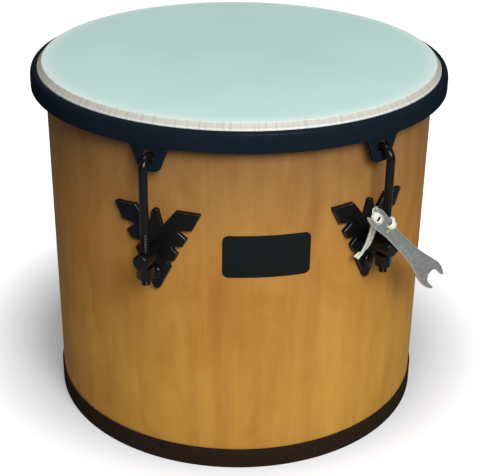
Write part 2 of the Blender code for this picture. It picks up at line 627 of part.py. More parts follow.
def main():
    clear_scene()
    wood = material('varnished_wood', (0.52, 0.29, 0.10), 0.28)
    film_white = material('head_white', (0.47, 0.65, 0.62), 0.45)
    hoop_metal = material('hoop_metal', (0.62, 0.63, 0.62), 0.35, 1.0)
    rim_black = material('rim_black', (0.012, 0.016, 0.024), 0.35)
    lug_black = material('lug_black', (0.008, 0.008, 0.008), 0.30)
    ring_brown = material('ring_brown', (0.026, 0.017, 0.012), 0.35)
    badge_black = material('badge_black', (0.010, 0.010, 0.011), 0.40)
    zinc = material('inside_zinc', (0.50, 0.50, 0.48), 0.40, 1.0)
    key_zinc = material('key_zinc', (0.33, 0.34, 0.32), 0.50, 0.9)
    tie_white = material('tie_white', (0.80, 0.80, 0.72), 0.45)

    turn = math.radians(KEY_AZIMUTH)
    loop = (ROD_PLACE * math.sin(turn), -ROD_PLACE * math.cos(turn), LOOP_HEIGHT)
    rim_carrier = add_empty('rim_travel', (0, 0, 0))
    key_carrier = add_empty('key_pivot', loop, KEY_AZIMUTH)

    make_shell(wood)
    make_head(film_white)
    make_hoop(hoop_metal)
    make_rim(rim_black, rim_carrier)
    make_lugs(lug_black, rim_carrier)
    make_fasteners(lug_black, zinc)
    make_bottom_ring(ring_brown, lug_black)
    make_badge(badge_black)
    make_key(key_zinc, key_carrier)
    make_tie(tie_white, key_carrier)


main()
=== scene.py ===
import math

import bmesh
import bpy
import numpy as np
from mathutils import Matrix, Vector


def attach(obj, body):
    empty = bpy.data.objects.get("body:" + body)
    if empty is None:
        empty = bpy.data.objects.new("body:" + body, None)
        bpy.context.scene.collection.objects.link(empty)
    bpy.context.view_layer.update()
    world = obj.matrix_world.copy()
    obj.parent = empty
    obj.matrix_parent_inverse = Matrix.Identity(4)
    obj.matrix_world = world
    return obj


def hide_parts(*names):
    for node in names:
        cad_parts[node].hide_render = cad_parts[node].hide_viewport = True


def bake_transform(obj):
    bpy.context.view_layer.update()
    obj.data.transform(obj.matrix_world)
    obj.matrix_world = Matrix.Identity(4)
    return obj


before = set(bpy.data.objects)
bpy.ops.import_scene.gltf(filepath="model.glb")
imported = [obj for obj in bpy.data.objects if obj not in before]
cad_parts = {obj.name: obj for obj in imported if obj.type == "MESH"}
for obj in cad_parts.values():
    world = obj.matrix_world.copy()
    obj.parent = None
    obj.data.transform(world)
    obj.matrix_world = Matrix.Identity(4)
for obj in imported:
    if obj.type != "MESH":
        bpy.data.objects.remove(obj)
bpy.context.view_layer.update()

MM = 0.001
studio = bpy.context.scene

# Camera. It stands in front of the drum, a little to its left, and looks down on the head.
CAMERA_AZIMUTH = math.radians(-8)
CAMERA_DISTANCE = 0.8631      # from the drum's axis
CAMERA_HEIGHT = 0.5557
CAMERA_DOWN = math.radians(26.57)
CAMERA_ASIDE = -0.00248       # radians off the drum's axis
CAMERA_ROLL = 0.01165
camera_data = bpy.data.cameras.new("camera")
camera_data.sensor_fit = "HORIZONTAL"
camera_data.sensor_width = 36.0
camera_data.lens = 84.74
camera = bpy.data.objects.new("camera", camera_data)
studio.collection.objects.link(camera)
camera.matrix_world = (
    Matrix.Translation((CAMERA_DISTANCE * math.sin(CAMERA_AZIMUTH),
                        -CAMERA_DISTANCE * math.cos(CAMERA_AZIMUTH), CAMERA_HEIGHT))
    @ Matrix.Rotation(CAMERA_AZIMUTH + CAMERA_ASIDE, 4, "Z")
    @ Matrix.Rotation(math.pi / 2 - CAMERA_DOWN, 4, "X")
    @ Matrix.Rotation(CAMERA_ROLL, 4, "Z"))
studio.camera = camera
studio.view_settings.view_transform = "Standard"


# Tuning key. A flat double open-ended spanner, punched from steel plate and zinc plated, so its
# edges are rounded over and its faces are mottled. Its large jaw fits the tension nuts, and it
# hangs by the round hole near its small end.
LUG_AZIMUTHS = (-30, 30, 150, -150)
ROD_PLACE = 0.172455          # rod's axis from the drum's axis
KEY_LUG = math.radians(LUG_AZIMUTHS[1])
LOOP_HEIGHT = 0.2120          # middle of the tie's loop round the rod
LOOP = Matrix.Translation((ROD_PLACE * math.sin(KEY_LUG), -ROD_PLACE * math.cos(KEY_LUG),
                           LOOP_HEIGHT)) @ Matrix.Rotation(KEY_LUG, 4, "Z")
KEY_THICKNESS = 0.0025
KEY_EDGE = 0.0004             # round of its edges
KEY_HOLE = 0.0026             # radius
KEY_HOLE_PLACE = (-0.0100, -0.0097, -0.0041)    # from the loop's middle
KEY_TILT = math.radians(46.1)                   # below level, large end down
# Outline in mm along and across from the hole, each corner with the radius that it is rounded to
KEY_OUTLINE = (
    (-24.3, 3.9, 0.7), (-22.2, 5.3, 2.0), (-17.0, 6.6, 8.0), (-12.0, 6.7, 9.0), (-5.0, 5.8, 20),
    (4.0, 5.0, 20), (20.0, 4.9, 30), (35.0, 5.5, 30), (48.0, 6.9, 30), (58.0, 8.5, 20),
    (66.0, 9.9, 12), (72.0, 10.4, 9.0), (77.0, 9.9, 7.0), (81.0, 8.5, 6.0), (84.1, 6.8, 0.9),
    (83.8, 5.6, 0.9), (81.6, 5.15, 2.0), (69.15, 5.15, 5.65), (69.15, -6.15, 5.65),
    (80.6, -6.15, 2.0), (82.3, -6.2, 0.8), (82.9, -7.4, 0.9), (80.0, -8.8, 6.0),
    (76.0, -10.0, 7.0), (71.0, -10.6, 9.0), (65.0, -10.1, 12), (57.0, -8.7, 20), (47.0, -6.9, 30),
    (35.0, -5.8, 30), (20.0, -5.2, 30), (4.0, -5.1, 20), (-5.0, -5.8, 20), (-10.0, -6.4, 12),
    (-15.0, -6.6, 9.0), (-20.5, -6.1, 6.0), (-24.6, -4.7, 0.8), (-22.0, -3.5, 1.5),
    (-10.4, -3.5, 3.5), (-10.4, 3.5, 3.5), (-22.0, 3.5, 1.5))


def in_metres(corners):
    """Corners that are given in mm, in metres."""
    return [tuple(value * MM for value in corner) for corner in corners]


def rounded(corners, steps=5):
    """Outline with an arc at each corner, from (x, y, radius) corners."""
    line = []
    for number, (x, y, radius) in enumerate(corners):
        here = Vector((x, y))
        way_in = Vector(corners[number - 1][:2]) - here
        way_out = Vector(corners[(number + 1) % len(corners)][:2]) - here
        bend = (math.pi - way_in.angle(way_out)) / 2
        reach = min(radius * math.tan(bend), way_in.length * 0.49, way_out.length * 0.49)
        if reach < 1e-6:
            line.append((x, y))
            continue
        way_in.normalize()
        way_out.normalize()
        centre = here + (way_in + way_out).normalized() * reach / math.sin(bend)
        first, last = here + way_in * reach - centre, here + way_out * reach - centre
        for step in range(steps + 1):
            t = step / steps
            line.append(tuple(centre + (first * math.sin(2 * bend * (1 - t))
                                        + last * math.sin(2 * bend * t)) / math.sin(2 * bend)))
    return line


def closed(bm):
    """Mesh from a closed form, with its faces outward."""
    bmesh.ops.remove_doubles(bm, verts=bm.verts, dist=1e-7)
    bmesh.ops.recalc_face_normals(bm, faces=bm.faces)
    mesh = bpy.data.meshes.new("form")
    bm.to_mesh(mesh)
    bm.free()
    return mesh


def inset_line(line, depth):
    """The same closed line moved inward by depth."""
    points = np.array(line)
    ahead = np.roll(points, -1, 0) - points
    ahead /= np.linalg.norm(ahead, axis=1)[:, None] + 1e-12
    behind = np.roll(ahead, 1, 0)
    area = (points[:, 0] * np.roll(points[:, 1], -1) - points[:, 1] * np.roll(points[:, 0], -1)).sum()
    left = np.stack([-(ahead + behind)[:, 1], (ahead + behind)[:, 0]], 1) * math.copysign(1, area)
    stretch = 1 + (ahead * behind).sum(1)
    return points + left / np.maximum(stretch, 0.35)[:, None] * depth


def plate(line, thickness, front_round, back_round=0.0, steps=3):
    """Plate with its outline in XZ, its back at y = 0 and its face to -Y, its edges rounded over."""
    bm = bmesh.new()
    levels = []
    if back_round:
        levels += [(back_round * (1 - math.sin(a)), -back_round * (1 - math.cos(a)))
                   for a in (math.pi / 2 * i / steps for i in range(steps))]
    levels.append((0, -back_round))
    if front_round:
        levels += [(front_round * (1 - math.cos(a)), -thickness + front_round * (1 - math.sin(a)))
                   for a in (math.pi / 2 * i / steps for i in range(steps + 1))]
    else:
        levels.append((0, -thickness))
    rings = [[bm.verts.new((x, y, z)) for x, z in inset_line(line, depth)] for depth, y in levels]
    for low, high in zip(rings, rings[1:]):
        for i in range(len(low)):
            bm.faces.new((low[i - 1], low[i], high[i], high[i - 1]))
    bm.faces.new(rings[0])
    bm.faces.new(rings[-1])
    return closed(bm)


def cut(mesh, cutter, operation="DIFFERENCE"):
    """Cut one closed mesh by another, or join them."""
    blank = bpy.data.objects.new("blank", mesh)
    tool = bpy.data.objects.new("tool", cutter)
    studio.collection.objects.link(blank)
    studio.collection.objects.link(tool)
    boolean = blank.modifiers.new("boolean", "BOOLEAN")
    boolean.operation = operation
    boolean.solver = "EXACT"
    boolean.object = tool
    result = bpy.data.meshes.new_from_object(
        blank.evaluated_get(bpy.context.evaluated_depsgraph_get()))
    bpy.data.objects.remove(blank)
    bpy.data.objects.remove(tool)
    return result


def turned(profile, sides):
    """Form turned round Z from a (radius, height) line. A line off the axis closes on itself."""
    bm = bmesh.new()
    angles = [2 * math.pi * i / sides for i in range(sides)]
    rings = [[bm.verts.new((0, 0, z))] if r == 0 else
             [bm.verts.new((r * math.sin(a), -r * math.cos(a), z)) for a in angles]
             for r, z in profile]
    pairs = list(zip(rings, rings[1:]))
    if profile[0][0] != 0:
        pairs.append((rings[-1], rings[0]))
    for low, high in pairs:
        for i in range(sides):
            j = (i + 1) % sides
            corners = (low[i % len(low)], low[j % len(low)], high[j % len(high)], high[i % len(high)])
            corners = list(dict.fromkeys(corners))
            if len(corners) > 2:
                bm.faces.new(corners)
    return closed(bm)


def cylinder(radius, near=-0.02, far=0.02, sides=40):
    """Solid cylinder on Z, long enough as it is to cut through any of the plates."""
    return turned([(0, near), (radius, near), (radius, far), (0, far)], sides)


def pointed_out(form, azimuth=0, height=0.0, seat=0.0):
    """Lay a form that stands on Z so that it points out of the drum, at an azimuth in degrees, a
    height and a distance from the axis."""
    form.transform(Matrix.Rotation(math.radians(azimuth), 4, "Z")
                   @ Matrix.Translation((0, -seat, height)) @ Matrix.Rotation(math.pi / 2, 4, "X"))
    return form


def add_piece(name, mesh, finish, body=None, place=None, sharp=32):
    """Link a piece with its finish, smooth up to an angle in degrees, riding on its body."""
    mesh.materials.append(finish)
    mesh.shade_smooth()
    mesh.set_sharp_from_angle(angle=math.radians(sharp))
    piece = bpy.data.objects.new(name, mesh)
    studio.collection.objects.link(piece)
    if place is not None:
        piece.matrix_world = place
    if body:
        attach(piece, body)
    return piece


def second_finish(piece, finish, chosen):
    """Give the chosen faces of a piece another finish."""
    piece.data.materials.append(finish)
    for side in piece.data.polygons:
        if chosen(side):
            side.material_index = len(piece.data.materials) - 1


class Finish:
    """One surface finish, built from plain nodes on a Principled shader."""

    def __init__(self, name, roughness, metallic=0.0, specular=0.5, coat=0.0, coat_roughness=0.1):
        self.material = bpy.data.materials.new(name)
        self.material.use_nodes = True
        self.nodes = self.material.node_tree.nodes
        self.links = self.material.node_tree.links
        self.shader = self.nodes["Principled BSDF"]
        for socket, value in (("Roughness", roughness), ("Metallic", metallic),
                              ("Specular IOR Level", specular), ("Coat Weight", coat),
                              ("Coat Roughness", coat_roughness)):
            self.shader.inputs[socket].default_value = value
        self.place = self.node("ShaderNodeTexCoord").outputs["Object"]

    def node(self, kind, **settings):
        """New node with these settings."""
        made = self.nodes.new(kind)
        for name, value in settings.items():
            setattr(made, name, value)
        return made

    def stretched(self, scale):
        """The place on the piece, with each axis scaled."""
        mapping = self.node("ShaderNodeMapping")
        mapping.inputs["Scale"].default_value = scale
        self.links.new(self.place, mapping.inputs["Vector"])
        return mapping.outputs["Vector"]

    def noise(self, scale, detail=2.0, roughness=0.5, place=None, distortion=0.0):
        """Noise on the piece, its scale in waves to the metre."""
        made = self.node("ShaderNodeTexNoise")
        for socket, value in (("Scale", scale), ("Detail", detail), ("Roughness", roughness),
                              ("Distortion", distortion)):
            made.inputs[socket].default_value = value
        self.links.new(place or self.place, made.inputs["Vector"])
        return made.outputs["Fac"]

    def cells(self, scale):
        """Distance from the middle of the nearest of many small cells."""
        made = self.node("ShaderNodeTexVoronoi")
        made.inputs["Scale"].default_value = scale
        self.links.new(self.place, made.inputs["Vector"])
        return made.outputs["Distance"]

    def ramp(self, value, stops):
        """Colour that follows a value from stop to stop."""
        made = self.node("ShaderNodeValToRGB")
        ramp = made.color_ramp
        while len(ramp.elements) < len(stops):
            ramp.elements.new(0.5)
        for element, (position, colour) in zip(ramp.elements, stops):
            element.position = position
            element.color = (*colour, 1)
        self.links.new(value, made.inputs["Fac"])
        return made.outputs["Color"]

    def scaled(self, value, start, end, low=0.0, high=1.0):
        """Low where the value is at its start, high where it is at its end."""
        made = self.node("ShaderNodeMapRange")
        for socket, number in (("From Min", start), ("From Max", end), ("To Min", low), ("To Max", high)):
            made.inputs[socket].default_value = number
        self.links.new(value, made.inputs["Value"])
        return made.outputs["Result"]

    def from_axis(self, start, end):
        """0 at one distance from the drum's axis and 1 at another."""
        away = self.node("ShaderNodeVectorMath", operation="LENGTH")
        self.links.new(self.stretched((1, 1, 0)), away.inputs[0])
        return self.scaled(away.outputs["Value"], start, end)

    def dulled(self, noise, low, high):
        """Roughness that goes from low to high with the noise, which lies mostly from 0.3 to 0.7."""
        self.links.new(self.scaled(noise, 0.3, 0.7, low, high), self.shader.inputs["Roughness"])

    def mixed(self, first, second, share, how="MIX"):
        """Two colours mixed. A Mix node's colour sockets are 6, 7 and, coming out, 2."""
        made = self.node("ShaderNodeMix", data_type="RGBA", blend_type=how)
        for socket, value in ((made.inputs[0], share), (made.inputs[6], first),
                              (made.inputs[7], second)):
            if isinstance(value, (int, float)):
                socket.default_value = value
            elif isinstance(value, tuple):
                socket.default_value = (*value, 1)
            else:
                self.links.new(value, socket)
        return made.outputs[2]

    def colour(self, value):
        """Take the base colour from a node."""
        self.links.new(value, self.shader.inputs["Base Color"])

    def mottled(self, scale, detail, stops, roughness=0.5):
        """Base colour that goes from stop to stop with fine noise."""
        self.colour(self.ramp(self.noise(scale, detail, roughness), stops))

    def bump(self, height, distance, strength):
        """Relief that stands up by this distance."""
        made = self.node("ShaderNodeBump")
        made.inputs["Strength"].default_value = strength
        made.inputs["Distance"].default_value = distance
        self.links.new(height, made.inputs["Height"])
        self.links.new(made.outputs["Normal"], self.shader.inputs["Normal"])

    def relief(self, scale, detail, distance, strength, roughness=0.5):
        """Bump from fine noise."""
        self.bump(self.noise(scale, detail, roughness), distance, strength)


key_zinc = Finish("key_zinc", 0.46, metallic=0.9)
spangle = key_zinc.cells(520)
blotches = key_zinc.noise(260, 4, 0.65, distortion=0.6)
key_colour = key_zinc.mixed(
    key_zinc.ramp(blotches, ((0.25, (0.31, 0.33, 0.31)), (0.5, (0.44, 0.465, 0.44)),
                             (0.68, (0.56, 0.58, 0.54)), (0.8, (0.78, 0.79, 0.73)))),
    key_zinc.ramp(spangle, ((0.0, (0.54, 0.56, 0.53)), (0.8, (0.38, 0.40, 0.385)))), 0.4)
specks = key_zinc.ramp(key_zinc.noise(620, 1), ((0.70, (0, 0, 0)), (0.74, (1, 1, 1))))
key_zinc.colour(key_zinc.mixed(key_colour, (0.95, 0.95, 0.88), specks))
key_zinc.dulled(blotches, 0.36, 0.56)
key_zinc.relief(1500, 3, 0.00005, 0.5)

key_mesh = plate(rounded(in_metres(KEY_OUTLINE)), KEY_THICKNESS, KEY_EDGE, KEY_EDGE)
key_mesh = cut(key_mesh, pointed_out(cylinder(KEY_HOLE)))
KEY_PLACE = LOOP @ Matrix.Translation(KEY_HOLE_PLACE) @ Matrix.Rotation(KEY_TILT, 4, "Y")
tuning_key = add_piece("tuning_key_plate", key_mesh, key_zinc.material, "key", KEY_PLACE)
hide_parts("tuning_key")
# The rounded edges are lighter and less metallic than the faces: a painted highlight along the edges.
key_edge_highlight = Finish("key_edge_highlight", 0.40, metallic=0.5)
key_edge_highlight.mottled(700, 3, ((0.35, (0.52, 0.52, 0.45)), (0.65, (0.80, 0.79, 0.70))))
key_edge_highlight.relief(1500, 3, 0.00004, 0.5)
second_finish(tuning_key, key_edge_highlight.material, lambda side: abs(side.normal.y) < 0.97)


# Tie. A moulded nylon tie that holds the key to its rod: a flat strap with a groove down its
# face, and a rounded head with a slot, which sits in the key's small jaw. The strap goes through
# the key's hole, over its edge, round the rod and through the head, and its tail hangs free.
# Route in mm from the rod's axis: across, outward and up
TIE_ROUTE = (
    (-4.5, 6.7, -8.0), (-7.9, 7.0, -5.2), (-9.3, 9.3, -3.5), (-9.3, 12.4, -3.4),
    (-8.1, 14.2, -2.3), (-6.5, 14.6, -0.7), (-4.9, 13.0, 0.8), (-4.6, 10.5, 1.1),
    (-2.6, 7.8, -0.5), (1.0, 6.2, -2.8), (4.5, 3.2, -4.6), (5.3, -0.8, -5.0),
    (3.2, -5.2, -4.8), (0.0, -6.5, -4.2), (-3.6, -5.3, -3.2), (-6.0, -2.0, -1.4),
    (-9.0, 2.6, 2.4), (-15.0, 6.5, 9.0), (-19.0, 7.5, 11.5), (-19.2, 8.1, 8.0),
    (-18.0, 7.5, 3.0), (-17.0, 5.0, -1.5), (-16.1, 3.5, -4.7), (-14.0, -1.0, -14.6),
    (-12.7, -5.5, -23.8), (-13.2, -8.5, -29.0), (-15.2, -10.5, -32.3), (-16.6, -11.5, -34.4))
# Which way the strap's face looks at each of those points
TIE_FACES = (
    (0, 1, 0), (-0.4, 0.8, -0.4), (-0.7, 0.1, -0.7), (-0.7, 0.1, -0.7), (-0.3, 0.9, -0.3),
    (0.3, 0.9, 0.3), (0.7, 0.3, 0.7), (0.7, 0, 0.7), (0.6, 0.6, 0.5), (0.3, 0.9, -0.1),
    (0.8, 0.57, 0), (1, -0.15, 0), (0.52, -0.85, 0), (0, -1, 0), (-0.56, -0.83, 0),
    (-0.95, -0.3, 0), (-0.75, -0.6, -0.1), (-0.4, 0.3, 0.9), (-0.7, 0.6, 0.5), (-0.6, 0.8, 0),
    (-0.5, 0.85, 0.1), (-0.4, 0.85, 0.3), (-0.3, 0.9, 0.35), (-0.2, 0.9, 0.4),
    (-0.1, 0.95, 0.3), (0.35, 0.85, 0.35), (0.25, 0.9, 0.35), (0, 0.95, 0.35))
# Section in mm: across, towards the face, and how far the groove sinks that point
STRAP_SECTION = (
    (-2.6, 0.0, 0), (-2.5, 0.4, 0), (-2.15, 0.6, 0), (-0.85, 0.6, 0), (-0.5, 0.6, 0.35),
    (0.5, 0.6, 0.35), (0.85, 0.6, 0), (2.15, 0.6, 0), (2.5, 0.4, 0), (2.6, 0.0, 0),
    (2.5, -0.4, 0), (2.15, -0.6, 0), (0.0, -0.6, 0), (-2.15, -0.6, 0), (-2.5, -0.4, 0))
GROOVE = 5                    # number of the section's side that is the groove's floor
RING_STEP = 0.9               # mm between the strap's rings
# Stops of the route: in the key's hole, over the key, round the rod, and in the tail
HOLE_STOP, KEY_STOP, ROD_STOP, TAIL_STOP = 2.5, 5.3, 10.2, 23.5
TAIL_START = 16               # stop from which the strap shows its grooved side
HOLE_SQUEEZE = 0.16           # shares of the width
TAIL_SPREAD = 0.10
LOOP_DROP = 0.0013            # shifts of the strap where it bears on the rod and the key
KEY_PRESS = 0.0006
# Half length, half width and corner of the head in mm, then its thickness and the edges' round
TIE_HEAD = (4.6, 3.2, 2.9)
TIE_HEAD_THICKNESS = 3.2
TIE_HEAD_EDGE = 0.5
TIE_HEAD_PLACE = (-0.0166, 0.0001, 0)           # from the key's hole, in metres
SLOT_MIDDLE = 1.7             # mm along the head
SLOT_MARGIN = 0.05            # mm round the slot that still count as in it
# The dish round the slot and the slot in mm: half length, half width, corner, floor
TIE_DISH = (2.2, 2.4, 2.0, 2.5)
TIE_SLOT = (1.2, 1.9, 0.8, 0.7)


def flowing(stops, step):
    """Even points on a smooth line through the stops, and the share of each stop at them."""
    stops = [Vector(stop) for stop in stops]
    ends = [stops[0] * 2 - stops[1], *stops, stops[-1] * 2 - stops[-2]]
    fine, marks = [], []
    pieces = 24               # fine steps from stop to stop
    for number, (before, start, end, after) in enumerate(zip(ends, ends[1:], ends[2:], ends[3:])):
        for i in range(pieces):
            t = i / pieces
            pull = (end - before) * t + (before * 2 - start * 5 + end * 4 - after) * t ** 2
            fine.append(start + (pull + (start * 3 - before - end * 3 + after) * t ** 3) / 2)
            marks.append(number + t)
    fine.append(stops[-1])
    marks.append(len(stops) - 1)
    fine = np.array(fine)
    run = np.concatenate([[0], np.cumsum(np.linalg.norm(np.diff(fine, axis=0), axis=1))])
    goals = np.linspace(0, run[-1], round(run[-1] / step) + 1)
    line = np.stack([np.interp(goals, run, fine[:, k]) for k in range(3)], 1)
    return line, np.interp(goals, run, marks)


def swept(line, faces, section, widths, aside, inward, grooved):
    """Strip with this section along a line, drawn in by widths, moved across and inward, and
    grooved to these shares. Its y axis looks along faces."""
    bm = bmesh.new()
    ahead = np.gradient(line, axis=0)
    ahead /= np.linalg.norm(ahead, axis=1)[:, None]
    faces = faces - ahead * (faces * ahead).sum(1)[:, None]
    faces /= np.linalg.norm(faces, axis=1)[:, None]
    sideways = np.cross(ahead, faces)
    line = line + sideways * aside[:, None] - faces * inward[:, None]
    rings = [[bm.verts.new(p + s * (x * width) + f * (y - sunk * deep)) for x, y, sunk in section]
             for p, s, f, width, deep in zip(line, sideways, faces, widths, grooved)]
    for low, high, deep in zip(rings, rings[1:], grooved):
        for i in range(len(section)):
            side = bm.faces.new((low[i - 1], low[i], high[i], high[i - 1]))
            side.material_index = int(i == GROOVE and deep > 0.5)
    bm.faces.new(rings[0])
    bm.faces.new(rings[-1])
    return closed(bm)


nylon = Finish("tie_nylon", 0.42, specular=0.45)
nylon.mottled(300, 3, ((0.35, (0.74, 0.75, 0.63)), (0.65, (0.85, 0.86, 0.74))))
nylon.shader.inputs["Subsurface Weight"].default_value = 0.08
nylon.shader.inputs["Subsurface Radius"].default_value = (0.001, 0.0008, 0.0005)
nylon.relief(2500, 2, 0.00003, 0.4)

# The floor of the groove has fine cross ridges for the catch in the head, and a darker colour: painted
# shade in the groove.
ladder_and_shade = Finish("tie_ladder", 0.5, specular=0.3)
ladder_and_shade.mottled(400, 3, ((0.35, (0.42, 0.42, 0.30)), (0.65, (0.56, 0.56, 0.43))))
ladder_and_shade.bump(ladder_and_shade.noise(1.0, 2, place=ladder_and_shade.stretched((300, 300, 2400))), 0.0002, 0.5)

route_mm, marks = flowing([(across, -outward, up) for across, outward, up in TIE_ROUTE], RING_STEP)
looks = np.array([(across, -outward, up) for across, outward, up in TIE_FACES], float)
looks /= np.linalg.norm(looks, axis=1)[:, None]
looks = np.stack([np.interp(marks, range(len(looks)), looks[:, k]) for k in range(3)], 1)


def near(stop, spread):
    """1 at a stop of the tie's route, and less the more stops away."""
    return np.exp(-((marks - stop) / spread) ** 2)


drawn_in = 1 - HOLE_SQUEEZE * near(HOLE_STOP, 0.9)
drawn_in += TAIL_SPREAD * near(TAIL_STOP, 2.0)
lowered = LOOP_DROP * near(ROD_STOP, 1.5)
pressed = KEY_PRESS * near(KEY_STOP, 2.0)
grooved = np.clip((marks - TAIL_START) / 2, 0, 1)
strap_mesh = swept(route_mm * MM, looks, np.array(STRAP_SECTION) * MM, drawn_in, lowered, pressed,
                   grooved)
strap_mesh.transform(LOOP)
strap = add_piece("tie_strap", strap_mesh, nylon.material)
strap_mesh.materials.append(ladder_and_shade.material)
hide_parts("key_tie")


def oblong(half_long, half_wide, corner, middle=0.0, steps=8):
    """Outline of a rounded oblong, with its middle along X."""
    return rounded([(middle - half_long, -half_wide, corner), (middle + half_long, -half_wide, corner),
                    (middle + half_long, half_wide, corner), (middle - half_long, half_wide, corner)],
                   steps)


def in_slot(side):
    """Whether a face of the tie's head is in the slot, below the dish."""
    along, out, across = (value / MM for value in side.center)
    return (side.normal.y < 0.9 and out > 2 * SLOT_MARGIN - TIE_DISH[3]
            and abs(along - SLOT_MIDDLE) < TIE_SLOT[0] + SLOT_MARGIN
            and abs(across) < TIE_SLOT[1] + SLOT_MARGIN)


head_mesh = plate(oblong(*TIE_HEAD), TIE_HEAD_THICKNESS, TIE_HEAD_EDGE, TIE_HEAD_EDGE)
for half_long, half_wide, corner, bottom in (TIE_DISH, TIE_SLOT):
    pocket = plate(oblong(half_long, half_wide, corner, SLOT_MIDDLE, 5), 2 * TIE_HEAD_THICKNESS, 0)
    pocket.transform(Matrix.Translation((0, -bottom, 0)))
    head_mesh = cut(head_mesh, pocket)
head_mesh.transform(Matrix.Scale(MM, 4))
tie_head = add_piece("tie_catch", head_mesh, nylon.material, "key",
                     KEY_PLACE @ Matrix.Translation(TIE_HEAD_PLACE))
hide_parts("tie_head")
# The slot's walls and floor are near black: painted shade in the deep slot.
slot_shade = Finish("tie_slot_shade", 0.6, specular=0.1)
slot_shade.mottled(600, 3, ((0.35, (0.012, 0.013, 0.010)), (0.65, (0.030, 0.031, 0.024))))
slot_shade.relief(2000, 2, 0.00003, 0.4)
second_finish(tie_head, slot_shade.material, in_slot)
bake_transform(strap)


# Shell. Bent plywood with a pale, straight-grained face, under a thick gloss varnish. Its upper
# edge is rounded for the head, and it is bored for the lugs and for the ring's screws.
DRUM_HEIGHT = 0.2875
SHELL_RADIUS = 0.1525
SHELL_INSIDE = 0.1460
SHELL_FOOT = 0.0013
SHELL_SIDES = 288
CREST = 0.2867                # top of the bearing edge
EDGE_ROUND = 0.0025           # outer round of the bearing edge
INNER_CREST = 0.1494          # radius from which its inner side slopes down at 45 degrees
POST_HEIGHT = 0.1870
POST_BORE = 0.003575
SCREW_HEIGHT = 0.1690
SCREW_BORE = 0.0028
RING_SCREW_AZIMUTHS = (-30, 90, -150)
RING_SCREW_HEIGHT = 0.0118
RING_SCREW_BORE = 0.0017
BORE_START, BORE_END = 0.138, 0.160             # from the drum's axis, clear of the wall
RING_BORE_START = 0.1472      # where the ring screws' pilot holes stop


def quarter(across, up, radius, start, end, steps=6):
    """Points on an arc, from one angle to another in degrees."""
    return [(across + radius * math.cos(math.radians(start + (end - start) * i / steps)),
             up + radius * math.sin(math.radians(start + (end - start) * i / steps)))
            for i in range(steps + 1)]


def together(meshes):
    """Several separate forms as one mesh."""
    bm = bmesh.new()
    for mesh in meshes:
        bm.from_mesh(mesh)
    return closed(bm)


varnished = Finish("varnished_ply", 0.40, specular=0.0, coat=0.12, coat_roughness=0.05)
grain = varnished.noise(1.0, 4, 0.6, place=varnished.stretched((900, 900, 14)))
pores = varnished.noise(1.0, 2, 0.5, place=varnished.stretched((2600, 2600, 60)))
bands = varnished.noise(1.0, 3, 0.55, place=varnished.stretched((42, 42, 2.2)), distortion=0.4)
clouds = varnished.noise(9.0, 2, 0.5)
face = varnished.ramp(bands, ((0.28, (0.505, 0.240, 0.046)), (0.45, (0.565, 0.284, 0.052)),
                              (0.60, (0.615, 0.314, 0.056)), (0.75, (0.65, 0.340, 0.066))))
face = varnished.mixed(face, varnished.ramp(grain, ((0.3, (0.70, 0.66, 0.60)), (0.7, (1.0, 1.0, 1.0)))),
                       0.16, "MULTIPLY")
face = varnished.mixed(face, varnished.ramp(pores, ((0.33, (0.70, 0.62, 0.52)), (0.48, (1, 1, 1)))),
                       0.16, "MULTIPLY")
face = varnished.mixed(face, varnished.ramp(clouds, ((0.35, (0.90, 0.83, 0.80)), (0.7, (1, 1, 1)))),
                       0.7, "MULTIPLY")
mottle = varnished.noise(1.0, 3, 0.6, place=varnished.stretched((38, 38, 16)), distortion=0.8)
face = varnished.mixed(face, varnished.ramp(mottle, ((0.34, (0.85, 0.76, 0.72)), (0.52, (1, 1, 1)),
                                                     (0.68, (1.05, 1.10, 1.20)))), 0.55, "MULTIPLY")
# Darker and cooler towards the rim: painted shade under the rim, with a painted haze of the varnish's
# reflection near the top.
height_on_shell = varnished.node("ShaderNodeSeparateXYZ")
varnished.links.new(varnished.place, height_on_shell.inputs[0])
painted_rim_shade = varnished.scaled(height_on_shell.outputs["Z"], 0.06, 0.27)
face = varnished.mixed(face, varnished.ramp(painted_rim_shade, (
    (0.0, (0.99, 1.02, 1.02)), (0.6, (0.79, 0.76, 0.91)), (1.0, (0.45, 0.48, 1.0)))), 1.0, "MULTIPLY")
varnished.colour(face)
varnished.bump(grain, 0.00004, 0.2)

shell_profile = [(SHELL_RADIUS, SHELL_FOOT)]
shell_profile += quarter(SHELL_RADIUS - EDGE_ROUND, CREST - EDGE_ROUND, EDGE_ROUND, 0, 90)
shell_profile += [(INNER_CREST, CREST), (SHELL_INSIDE, CREST - (INNER_CREST - SHELL_INSIDE)),
                  (SHELL_INSIDE, SHELL_FOOT)]
shell_bits = [pointed_out(cylinder(bore, BORE_START, BORE_END), azimuth, height)
              for bore, height in ((POST_BORE, POST_HEIGHT), (SCREW_BORE, SCREW_HEIGHT))
              for azimuth in LUG_AZIMUTHS]
shell_bits += [pointed_out(cylinder(RING_SCREW_BORE, RING_BORE_START, BORE_END, 16), azimuth,
                           RING_SCREW_HEIGHT) for azimuth in RING_SCREW_AZIMUTHS]
shell = add_piece("shell_ply", cut(turned(shell_profile, SHELL_SIDES), together(shell_bits)),
                  varnished.material, "drum")
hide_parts("shell")


# Head. One sheet of frosted white polyester film with a crimped collar: the flat, a sharp crease,
# a short slope with fine radial pleats, and the skirt that is bonded into the hoop.
FILM_RADIUS = 0.1583
FILM_THICKNESS = 0.0005
FLAT_RADII = (0.03, 0.06, 0.09, 0.12, 0.14, 0.1535)     # rings of the flat, out to the crease
CREASE_PLACE, CREASE_ROUND = 0.15425, 0.00055
COLLAR_START = 0.1541
COLLAR_SLOPE = [(0.1558, 0.28590), (0.1569, 0.28470), (0.1577, 0.28395), (0.1581, 0.2835)]
SKIRT_TOP, SKIRT_END = 0.2829, 0.2762
HEAD_SIDES = 720
PLEATS = 330                  # waves of noise round the collar

